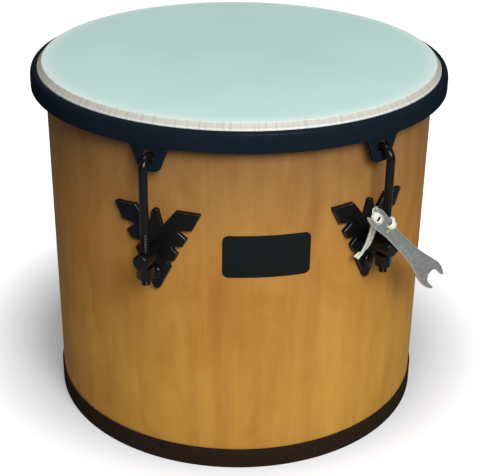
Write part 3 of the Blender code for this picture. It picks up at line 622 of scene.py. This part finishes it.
film = Finish("frosted_film", 0.45, specular=0.35)
sheet_colour = film.ramp(film.noise(14, 3), (
    (0.35, (0.470, 0.675, 0.632)), (0.65, (0.512, 0.712, 0.668))))
sheet_colour = film.mixed(sheet_colour, (0.535, 0.735, 0.69), film.from_axis(0.06, 0.17))
film.colour(film.mixed(sheet_colour, (0.66, 0.80, 0.75), film.from_axis(0.144, 0.1545)))
film.relief(1800, 3, 0.00003, 0.35)

crimped = Finish("crimped_collar", 0.42, specular=0.4)
turn_round = crimped.node("ShaderNodeTexGradient", gradient_type="RADIAL")
crimped.links.new(crimped.place, turn_round.inputs["Vector"])
times = crimped.node("ShaderNodeMath", operation="MULTIPLY")
times.inputs[1].default_value = PLEATS
crimped.links.new(turn_round.outputs["Fac"], times.inputs[0])
pleats = crimped.node("ShaderNodeTexNoise", noise_dimensions="1D")
for socket, value in (("Scale", 1.0), ("Detail", 4), ("Roughness", 0.7)):
    pleats.inputs[socket].default_value = value
crimped.links.new(times.outputs[0], pleats.inputs["W"])
band = crimped.ramp(crimped.from_axis(COLLAR_START, FILM_RADIUS), (
    (0.0, (0.70, 0.81, 0.76)), (0.10, (0.66, 0.70, 0.64)), (0.20, (0.54, 0.53, 0.465)),
    (0.76, (0.50, 0.49, 0.43)), (0.86, (0.60, 0.61, 0.55)), (0.93, (0.76, 0.79, 0.74)),
    (1.0, (0.60, 0.63, 0.60))))
# The colour darkens between the pleats, with the same noise as their relief: painted shade in their
# folds.
crimped.colour(crimped.mixed(band, crimped.ramp(pleats.outputs["Fac"], (
    (0.34, (0.74, 0.72, 0.70)), (0.50, (1, 1, 1)))), 0.75, "MULTIPLY"))
crimped.bump(pleats.outputs["Fac"], 0.0003, 0.25)

top_line = [(radius, DRUM_HEIGHT) for radius in (0, *FLAT_RADII)]
crease = quarter(CREASE_PLACE, DRUM_HEIGHT - CREASE_ROUND, CREASE_ROUND, 90, 40, 4)
skirt = [(FILM_RADIUS, SKIRT_TOP), (FILM_RADIUS, SKIRT_END)]
under = [(FILM_RADIUS - FILM_THICKNESS, SKIRT_END), (FILM_RADIUS - FILM_THICKNESS, SKIRT_TOP),
         (COLLAR_START, DRUM_HEIGHT - FILM_THICKNESS), (0, DRUM_HEIGHT - FILM_THICKNESS)]
head_form = turned(top_line + crease + COLLAR_SLOPE + skirt + under, HEAD_SIDES)
head = add_piece("drum_head", head_form, film.material, "drum", sharp=40)
second_finish(head, crimped.material, lambda side: side.normal.z > -0.2
              and math.hypot(side.center.x, side.center.y) > COLLAR_START - 0.0001)
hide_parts("head_film")

# Flesh hoop. The aluminium channel that the head's skirt is bonded into, seen in the gap between
# the collar and the rim.
hoop_metal = Finish("hoop_aluminium", 0.38, metallic=1.0)
hoop_metal.mottled(400, 3, ((0.3, (0.52, 0.53, 0.52)), (0.7, (0.66, 0.67, 0.66))))
hoop_metal.bump(hoop_metal.noise(1.0, 2, place=hoop_metal.stretched((300, 300, 4000))), 0.00004, 0.4)
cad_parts["flesh_hoop"].material_slots[0].material = hoop_metal.material


# Rim. Rolled steel counterhoop in black paint: an upright wall with a rounded shoulder, a flange
# that presses on the hoop, and at each lug an ear, pierced for the tension hook.
RIM_INSIDE = 0.16115
RIM_RADIUS = 0.16385
RIM_TOP = 0.2830
RIM_BOTTOM = 0.2683
RIM_EDGE = 0.0006             # round of the wall's lower edge
RIM_SIDES = 360
SHOULDER_REACH, SHOULDER_HEIGHT = 0.0024, 0.0070
# Inner side from the top to the flange's underside, radius and height
RIM_LIP = [(0.1592, RIM_TOP), (0.1588, 0.2827), (0.1587, 0.2822), (0.1587, 0.2800), (RIM_INSIDE, 0.2800)]
# Outline of the ear in mm, across and up from the wall's lower edge, with each corner's radius
EAR_HALF = ((19.0, 3.0, 0), (17.6, 0.0, 2.6), (14.2, -0.2, 3.2), (10.3, -10.2, 5.0), (7.4, -18.3, 9.6))
EAR_OUTLINE = [(-x, z, radius) for x, z, radius in EAR_HALF] + list(reversed(EAR_HALF))
EAR_THICKNESS = 0.0024
EAR_EDGES = (0.0005, 0.0004)  # rounds at its face and its back
EAR_SET = 0.00015             # its back in front of the wall's inner side
EAR_HOLE_RADIUS = 0.0050
EAR_HOLE_DROP = 0.0070


def bent(mesh, distance, spacing=0.0012):
    """Bend a plate round the drum, with its back at this distance from the axis."""
    bm = bmesh.new()
    bm.from_mesh(mesh)
    reach = max(abs(v.co.x) for v in bm.verts)
    for line in range(int(reach / spacing) + 1):
        for side in ((-1, 1) if line else (1,)):
            bmesh.ops.bisect_plane(bm, geom=bm.verts[:] + bm.edges[:] + bm.faces[:], dist=1e-7,
                                   plane_co=(side * line * spacing, 0, 0), plane_no=(1, 0, 0))
    for vert in bm.verts:
        angle = vert.co.x / distance
        out = distance - vert.co.y
        vert.co.x, vert.co.y = out * math.sin(angle), -out * math.cos(angle)
    return closed(bm)


rim_paint = Finish("rim_enamel", 0.30, specular=0.0, coat=0.03, coat_roughness=0.25)
rim_paint.mottled(700, 4, ((0.3, (0.0058, 0.0105, 0.0160)), (0.6, (0.0084, 0.0145, 0.0216)),
                           (0.80, (0.013, 0.020, 0.026))), 0.6)
rim_paint.dulled(rim_paint.noise(60, 3), 0.27, 0.42)
rim_paint.relief(420, 2, 0.00005, 0.12)

shoulder = [(RIM_RADIUS + SHOULDER_REACH * (math.cos(a) - 1),
             RIM_TOP + SHOULDER_HEIGHT * (math.sin(a) - 1))
            for a in (math.pi / 2 * i / 12 for i in range(13))]
rim_profile = quarter(RIM_RADIUS - RIM_EDGE, RIM_BOTTOM + RIM_EDGE, RIM_EDGE, -90, 0, 4)
rim_profile += shoulder + RIM_LIP + [(RIM_INSIDE, RIM_BOTTOM)]
ear = plate(rounded(in_metres(EAR_OUTLINE), 8), EAR_THICKNESS, *EAR_EDGES)
ear = cut(ear, pointed_out(cylinder(EAR_HOLE_RADIUS, sides=48), height=-EAR_HOLE_DROP))
ear.transform(Matrix.Translation((0, 0, RIM_BOTTOM)))
ear = bent(ear, RIM_INSIDE + EAR_SET)
ears = []
for azimuth in LUG_AZIMUTHS:
    copy = ear.copy()
    copy.transform(Matrix.Rotation(math.radians(azimuth), 4, "Z"))
    ears.append(copy)
rim = add_piece("rim_hoop", cut(turned(rim_profile, RIM_SIDES), together(ears), "UNION"),
                rim_paint.material, "rim_and_rods", sharp=38)
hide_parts("rim")


# Bottom ring. Thin steel edge hoop in dark brown paint, with its foot turned in under the shell,
# and the small black dome screws that hold it.
RING_INSIDE, RING_OUTSIDE = 0.1528, 0.1538
RING_WALL = 0.0010
RING_TOP = 0.0175
RING_LIP = (0.0002, 0.0003)   # chamfer at the top, across and down
RING_SIDES = 360
RING_BIT = (0.150, 0.158)     # start and end of the bit for the screws, from the drum's axis
# A screw's head, radius and height, and its shank, radius and length
RING_SCREW = (0.0030, 0.0016, 0.0014, 0.0062)
RING_SCREW_SEAT = 0.1539

ring_paint = Finish("ring_enamel", 0.32, specular=0.0, coat=0.04, coat_roughness=0.25)
ring_paint.mottled(500, 4, ((0.3, (0.021, 0.0135, 0.0085)), (0.6, (0.028, 0.018, 0.0120)),
                            (0.8, (0.050, 0.036, 0.024))), 0.6)
ring_paint.relief(380, 2, 0.00008, 0.3)
ring_profile = [(SHELL_INSIDE, 0.0), (RING_INSIDE, 0.0)]
ring_profile += quarter(RING_INSIDE, RING_WALL, RING_WALL, -60, 0, 3)
ring_profile += [(RING_OUTSIDE, RING_TOP - RING_LIP[1]), (RING_OUTSIDE - RING_LIP[0], RING_TOP),
                 (RING_INSIDE + RING_LIP[0], RING_TOP), (RING_INSIDE, RING_TOP - RING_LIP[1]),
                 (RING_INSIDE, RING_WALL), (SHELL_INSIDE, RING_WALL)]
ring_bits = [pointed_out(cylinder(RING_SCREW_BORE, *RING_BIT, 24), azimuth, RING_SCREW_HEIGHT)
             for azimuth in RING_SCREW_AZIMUTHS]
ring = add_piece("edge_hoop", cut(turned(ring_profile, RING_SIDES), together(ring_bits)),
                 ring_paint.material, "drum")
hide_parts("bottom_ring")

black_steel = Finish("black_steel", 0.25, specular=0.22)
black_steel.mottled(900, 4, ((0.35, (0.0030, 0.0030, 0.0034)), (0.62, (0.0050, 0.0050, 0.0052)),
                             (0.8, (0.013, 0.012, 0.011))), 0.6)
black_steel.dulled(black_steel.noise(220, 3), 0.18, 0.32)
black_steel.relief(1400, 3, 0.00003, 0.4)


def dome_screw(radius, height, shank, length):
    """Dome-headed screw on Z, with its head's seat at 0."""
    side = height * 0.28      # straight side of the head
    dome = [(radius * math.cos(a), side + (height - side) * math.sin(a))
            for a in (math.radians(9 * i) for i in range(10))]
    return turned([(0, -length), (shank, -length), (shank, 0), (radius, 0), (radius, side),
                   *dome[:-1], (0, height)], 40)


for number, azimuth in enumerate(RING_SCREW_AZIMUTHS, 1):
    screw_mesh = pointed_out(dome_screw(*RING_SCREW), azimuth, RING_SCREW_HEIGHT, RING_SCREW_SEAT)
    screw = add_piece(f"ring_screw_head_{number}", screw_mesh, black_steel.material,
                      "drum")
    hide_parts(f"ring_screw_{number}")


# Lug plates. Cast metal wings in satin black, bent to the shell's curve: a spike up the middle,
# two pairs of stepped wings and a tail. The edges of the casting are rounded over.
PLATE_BACK = 0.152655
PLATE_THICKNESS = 0.0035
PLATE_EDGE = 0.0006           # round of its edges
# Half of the outline in mm, across and up from the post, spike first, with each corner's radius
PLATE_HALF = (
    (2.0, 31.4, 1.6), (5.1, 18.9, 0.7), (15.5, 32.0, 0.8), (33.6, 31.0, 0.9), (27.0, 17.8, 0.9),
    (16.0, 16.7, 0.7), (23.5, 10.5, 0.9), (19.8, 4.5, 0.9), (11.4, 3.7, 0.7), (16.6, -2.0, 0.9),
    (13.7, -7.7, 0.9), (8.7, -9.3, 0.7), (11.2, -13.5, 0.9), (1.8, -32.2, 1.3))
cast_black = Finish("cast_black", 0.40, specular=0.12)
cast_black.mottled(650, 4, ((0.35, (0.0042, 0.0045, 0.0050)), (0.62, (0.0062, 0.0063, 0.0066)),
                            (0.82, (0.015, 0.014, 0.013))), 0.65)
cast_black.dulled(cast_black.noise(150, 3), 0.30, 0.50)
cast_black.relief(1100, 4, 0.00006, 0.5, 0.6)
# The rounded edges of the casting have a glossier finish that catches the lamps, and a lighter colour, a
# painted highlight along them.
glossy_lit_edge = Finish("edge_painted_highlight", 0.22, specular=0.6)
glossy_lit_edge.mottled(300, 4, ((0.40, (0.008, 0.008, 0.008)), (0.60, (0.022, 0.021, 0.019)),
                        (0.75, (0.085, 0.078, 0.066))), 0.6)
glossy_lit_edge.relief(1100, 3, 0.00004, 0.4)

outline = in_metres(PLATE_HALF)
outline += [(-x, z, radius) for x, z, radius in reversed(outline)]
plate_bits = [pointed_out(cylinder(bore), height=height)
              for bore, height in ((POST_BORE, 0), (SCREW_BORE, SCREW_HEIGHT - POST_HEIGHT))]
plate_mesh = cut(plate(rounded(outline), PLATE_THICKNESS, PLATE_EDGE), together(plate_bits))
plate_mesh = bent(plate_mesh, PLATE_BACK)
plate_mesh.transform(Matrix.Translation((0, 0, POST_HEIGHT)))

# Lug posts. Round steel posts, turned with a rounded end and drilled crosswise for the tension
# rod. A thinner shank goes through the plate and the shell to a nut inside.
POST_SEAT = 0.156455
POST_END = 0.181455
POST_RADIUS, POST_ROUND = 0.0060, 0.0018
SHANK_END, SHANK_RADIUS = 0.1360, 0.003175
SHANK_TIP = (0.0025, 0.0007)  # chamfer at the shank's end, its end's radius and its length
post_profile = [(0, SHANK_END), (SHANK_TIP[0], SHANK_END), (SHANK_RADIUS, SHANK_END + SHANK_TIP[1]),
                (SHANK_RADIUS, POST_SEAT), (POST_RADIUS, POST_SEAT)]
post_profile += quarter(POST_RADIUS - POST_ROUND, POST_END - POST_ROUND, POST_ROUND, 0, 90)
post_mesh = pointed_out(turned(post_profile + [(0, POST_END)], 56))
cross_bit = cylinder(POST_BORE, sides=48)
cross_bit.transform(Matrix.Translation((0, -ROD_PLACE, 0)))
post_mesh = cut(post_mesh, cross_bit)
post_mesh.transform(Matrix.Translation((0, 0, POST_HEIGHT)))

# Hook rods. Quarter-inch steel rods with a rolled thread at the foot and a hook at the top, which
# goes over the web of the rim's ear from outside.
ROD_RADIUS = 0.003175
ROD_BOTTOM = 0.1665
BEND_CENTRE, BEND_RADIUS = 0.2531, 0.007911
TIP_DROPS = (0.0015, 0.0032, 0.0040, 0.0045)    # rings of the hook's tip below the bend
THREAD_TOP, THREAD_PITCH, THREAD_DEPTH = 0.2080, 0.00127, 0.00042
THREAD_RUNOUT = 0.0015        # stretch over which it grows shallow at the top
THREAD_LEAD, THREAD_START = 0.001, 0.4          # the same at the foot, and the share it starts at
THREAD_RINGS_TOP = 0.2092     # the thread's fine rings go on to here, above its end
PLAIN_START, PLAIN_END = 0.2098, 0.2511         # rings from there to the bend
END_NARROWING = 0.72          # share of the radius at the chamfered ends
rod_line = [(ROD_PLACE, z) for z in np.arange(ROD_BOTTOM, THREAD_RINGS_TOP, THREAD_PITCH / 6)]
rod_line += [(ROD_PLACE, z) for z in np.linspace(PLAIN_START, PLAIN_END, 10)]
rod_line += [(ROD_PLACE - BEND_RADIUS * (1 - math.cos(a)), BEND_CENTRE + BEND_RADIUS * math.sin(a))
             for a in (math.pi * i / 28 for i in range(29))]
rod_line += [(ROD_PLACE - 2 * BEND_RADIUS, BEND_CENTRE - drop) for drop in TIP_DROPS]
ROD_TURNS = 32
bm = bmesh.new()
rings = []
for number, (out, height) in enumerate(rod_line):
    before, after = rod_line[max(number - 1, 0)], rod_line[min(number + 1, len(rod_line) - 1)]
    way = Vector((0, before[0] - after[0], after[1] - before[1])).normalized()
    side = Vector((1, 0, 0))
    depth = side.cross(way)
    ring_verts = []
    for i in range(ROD_TURNS):
        angle = 2 * math.pi * i / ROD_TURNS
        radius = ROD_RADIUS
        if height < THREAD_TOP and out == ROD_PLACE:
            wave = abs(((height / THREAD_PITCH - i / ROD_TURNS) % 1) * 2 - 1)
            fade = min(1, (THREAD_TOP - height) / THREAD_RUNOUT,
                       THREAD_START + (height - ROD_BOTTOM) / THREAD_LEAD)
            radius -= THREAD_DEPTH * fade * (1 - wave)
        if number == 0 or number == len(rod_line) - 1:
            radius *= END_NARROWING
        ring_verts.append(bm.verts.new(Vector((0, -out, height))
                                       + (side * math.cos(angle) + depth * math.sin(angle)) * radius))
    rings.append(ring_verts)
for low, high in zip(rings, rings[1:]):
    for i in range(ROD_TURNS):
        bm.faces.new((low[i - 1], low[i], high[i], high[i - 1]))
bm.faces.new(rings[0])
bm.faces.new(rings[-1])
rod_mesh = closed(bm)

# Tension nuts. Tall hexagon nuts, chamfered at both ends, which bear on the posts from below.
NUT_BOTTOM, NUT_TOP = 0.1717, 0.1807
NUT_FLATS = 0.0111            # across flats
NUT_CHAMFER = 0.0007
NUT_FACE = 0.87               # round end face's share of the corners' radius
nut_height = NUT_TOP - NUT_BOTTOM
nut_corner = NUT_FLATS / 2 / math.cos(math.pi / 6)
nut_face = nut_corner * NUT_FACE
# Outline of one end of the form that leaves the corners chamfered, from the end face outward
cone = [(nut_face, 0), (nut_face + NUT_CHAMFER * 1.7, NUT_CHAMFER),
        (nut_corner * 1.01, NUT_CHAMFER * 1.6)]
lens = turned([(0, 0), *cone, *((radius, nut_height - z) for radius, z in reversed(cone)),
               (0, nut_height)], 96)
nut_mesh = cut(cylinder(nut_corner, 0, nut_height, 6), lens, "INTERSECT")
nut_mesh = cut(nut_mesh, cylinder(POST_BORE))

for number, azimuth in enumerate(LUG_AZIMUTHS, 1):
    around = Matrix.Rotation(math.radians(azimuth), 4, "Z")
    for name, mesh, finish, node, body in (
            ("wing", plate_mesh, cast_black, "lug_plate", "drum"),
            ("post", post_mesh, black_steel, "lug_post", "drum"),
            ("hook", rod_mesh, black_steel, "hook_rod", "rim_and_rods")):
        piece = add_piece(f"{name}_{number}", mesh.copy(), finish.material, body,
                          around, sharp=50 if name == "hook" else 32)
        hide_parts(f"{node}_{number}")
        if name == "wing":
            second_finish(piece, glossy_lit_edge.material, lambda side: -0.96 < side.normal.y < -0.25)
    nut = add_piece(f"hex_nut_{number}", nut_mesh.copy(), black_steel.material,
                    f"nut_{number}", around @ Matrix.Translation((0, -ROD_PLACE, NUT_BOTTOM)))
    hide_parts(f"tension_nut_{number}")


# Fasteners. A black dome screw holds each plate's tail. Inside the shell there are zinc-plated
# washers and nuts on the posts' shanks and on these screws.
PLATE_SCREW = (0.0052, 0.0035, 0.0024, 0.0190)  # head's radius and height, shank's radius and length
for number, azimuth in enumerate(LUG_AZIMUTHS, 1):
    screw_mesh = pointed_out(dome_screw(*PLATE_SCREW), azimuth, SCREW_HEIGHT, POST_SEAT)
    screw = add_piece(f"dome_screw_{number}", screw_mesh, black_steel.material, "drum")
    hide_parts(f"plate_screw_{number}")
zinc = Finish("inner_zinc", 0.38, metallic=1.0)
zinc.mottled(420, 4, ((0.3, (0.46, 0.47, 0.46)), (0.7, (0.62, 0.63, 0.60))), 0.6)
zinc.relief(1500, 3, 0.00003, 0.4)
for name in ("post_washer", "post_nut", "screw_washer", "screw_nut"):
    for number in range(1, len(LUG_AZIMUTHS) + 1):
        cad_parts[f"{name}_{number}"].material_slots[0].material = zinc.material


# Badge. A black vinyl sticker with rounded corners on the front of the shell, left bare.
BADGE = (0.0320, 0.01655, 0.0045)               # half width, half height and corner
BADGE_THICKNESS, BADGE_EDGE = 0.0006, 0.00025
BADGE_HEIGHT = 0.18525        # its middle
vinyl = Finish("badge_vinyl", 0.42, specular=0.06)
vinyl.mottled(700, 3, ((0.35, (0.0074, 0.0090, 0.0094)), (0.65, (0.0100, 0.0121, 0.0124))))
vinyl.relief(900, 3, 0.00002, 0.4)
badge_mesh = bent(plate(oblong(*BADGE), BADGE_THICKNESS, BADGE_EDGE), PLATE_BACK)
badge_mesh.transform(Matrix.Translation((0, 0, BADGE_HEIGHT)))
badge = add_piece("sticker", badge_mesh, vinyl.material, "drum")
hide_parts("badge")


# Floor and light. A pale floor that glows white to the camera, less so round the drum, where the
# weaker glow is a painted soft shadow over the drum's own shadow. A broad lamp stands high in
# front, a little to the right, a weaker one hangs overhead, and the room's own light is even and dim.
FLOOR_CORNERS = ((-2, -1, 0), (2, -1, 0), (2, 3, 0), (-2, 3, 0))
FLOOR_DROP = 0.0002           # below the drum's foot
FLOOR_COLOUR = (0.42, 0.42, 0.43, 1)
WHITE = (1, 1, 1, 1)
# The glow is lowest round GLOW_CENTRE, a little behind the drum's axis, and rises from GLOW_START to
# GLOW_END: a painted soft shadow round the drum's foot.
GLOW_CENTRE = (0.0, 0.06, 0.0)
GLOW_START, GLOW_END = 0.165, 0.275             # from its centre
GLOW_LOW, GLOW_HIGH = 0.19, 0.95
ROOM_LIGHT = 0.10
# Name, place, the point that it looks at, width and height, power in watts
LAMPS = (("main_lamp", (0.20, -1.30, 1.10), (0, 0, 0.15), (0.80, 0.60), 25.5),
         ("top_lamp", (-0.1, 0.3, 1.7), (0, 0, 0.2), (1.2, 1.2), 9.5))
floor_mesh = bpy.data.meshes.new("floor")
floor_mesh.from_pydata(FLOOR_CORNERS, [], [(0, 1, 2, 3)])
floor = bpy.data.objects.new("floor", floor_mesh)
studio.collection.objects.link(floor)
floor.location.z = -FLOOR_DROP
white_floor = Finish("white_floor", 0.9, specular=0.0)
white_floor.shader.inputs["Base Color"].default_value = FLOOR_COLOUR
white_floor.shader.inputs["Emission Color"].default_value = WHITE
from_drum = white_floor.node("ShaderNodeVectorMath", operation="DISTANCE")
from_drum.inputs[1].default_value = GLOW_CENTRE
white_floor.links.new(white_floor.place, from_drum.inputs[0])
glow = white_floor.scaled(from_drum.outputs["Value"], GLOW_START, GLOW_END, GLOW_LOW, GLOW_HIGH)
camera_rays = white_floor.node("ShaderNodeLightPath").outputs["Is Camera Ray"]
seen = white_floor.node("ShaderNodeMath", operation="MULTIPLY")
white_floor.links.new(camera_rays, seen.inputs[0])
white_floor.links.new(glow, seen.inputs[1])
white_floor.links.new(seen.outputs[0], white_floor.shader.inputs["Emission Strength"])
floor_mesh.materials.append(white_floor.material)

for name, place, target, size, power in LAMPS:
    light = bpy.data.lights.new(name, "AREA")
    light.shape = "RECTANGLE"
    light.size, light.size_y = size
    light.energy = power
    lamp = bpy.data.objects.new(name, light)
    studio.collection.objects.link(lamp)
    lamp.location = place
    lamp.rotation_euler = (Vector(target) - Vector(place)).to_track_quat("-Z", "Y").to_euler()

# The camera, and rays through clear material, see a white room, and the drum is lit by a dim one
room = bpy.data.worlds.new("room")
studio.world = room
room.use_nodes = True
room_nodes = room.node_tree.nodes
room_links = room.node_tree.links
room_nodes["Background"].inputs["Color"].default_value = WHITE
room_paths = room_nodes.new("ShaderNodeLightPath")
seen_room = room_nodes.new("ShaderNodeMath")
seen_room.operation = "MAXIMUM"
room_links.new(room_paths.outputs["Is Camera Ray"], seen_room.inputs[0])
room_links.new(room_paths.outputs["Is Transmission Ray"], seen_room.inputs[1])
room_level = room_nodes.new("ShaderNodeMapRange")
room_level.inputs["To Min"].default_value = ROOM_LIGHT
room_level.inputs["To Max"].default_value = 1.0
room_links.new(seen_room.outputs[0], room_level.inputs["Value"])
room_links.new(room_level.outputs["Result"], room_nodes["Background"].inputs["Strength"])
